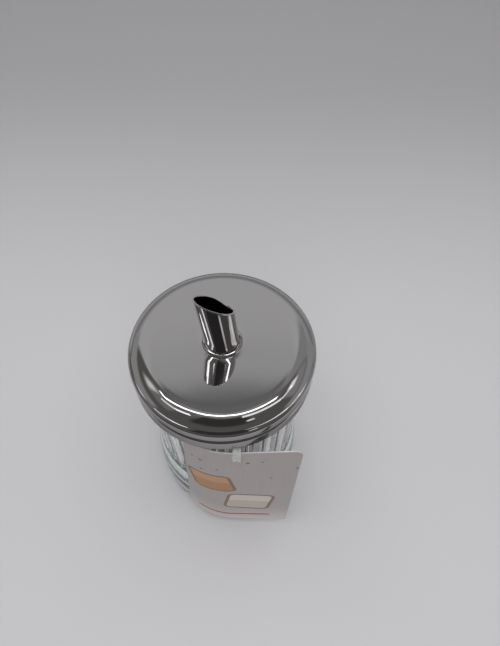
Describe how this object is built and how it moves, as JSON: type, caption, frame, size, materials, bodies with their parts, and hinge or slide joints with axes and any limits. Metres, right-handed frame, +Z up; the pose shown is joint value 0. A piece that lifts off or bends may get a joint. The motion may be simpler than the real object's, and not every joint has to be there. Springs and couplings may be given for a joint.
{
  "type": "sugar dispenser",
  "caption": "Fluted glass jar with a polished screw lid and an oblique pouring tube that doses sugar when the jar is tipped, with a card hang tag on its neck.",
  "frame": {"origin": "centre of the ring that the jar stands on, on the jar's axis", "axes": "+Z up along the jar's axis, -Y towards the hang tag, +X to the right of a viewer who faces the tag"},
  "size_m": [0.075, 0.0802, 0.1559],
  "materials": {
    "clear_glass": "clear soda-lime glass with a faint green tint",
    "polished_steel": "mirror-polished stainless steel",
    "seal_plastic": "soft off-white polyethylene",
    "paperboard": "matt coated paperboard",
    "clear_plastic": "clear flexible plastic"
  },
  "bodies": {
    "jar": {"glass_jar": "clear_glass", "tag_tie": "clear_plastic"},
    "seal": {"lid_seal": "seal_plastic"},
    "lid": {"lid_shell": "polished_steel", "pour_tube": "polished_steel"},
    "tag": {"hang_tag": "paperboard", "tag_strap": "clear_plastic"}
  },
  "joints": [
    {"name": "lid_lift", "type": "slide", "parent": "jar", "child": "seal", "axis": [0, 0, 1], "range_m": [0, 0.125]},
    {"name": "lid_turn", "type": "hinge", "parent": "seal", "child": "lid", "pos_m": [0, 0, 0.1255], "axis": [0, 0, 1], "range_deg": [0, 400]},
    {"name": "tag_swing", "type": "hinge", "parent": "jar", "child": "tag", "pos_m": [0.007, -0.0374, 0.1049], "axis": [-1, 0, 0], "range_deg": [0, 60]}
  ]
}
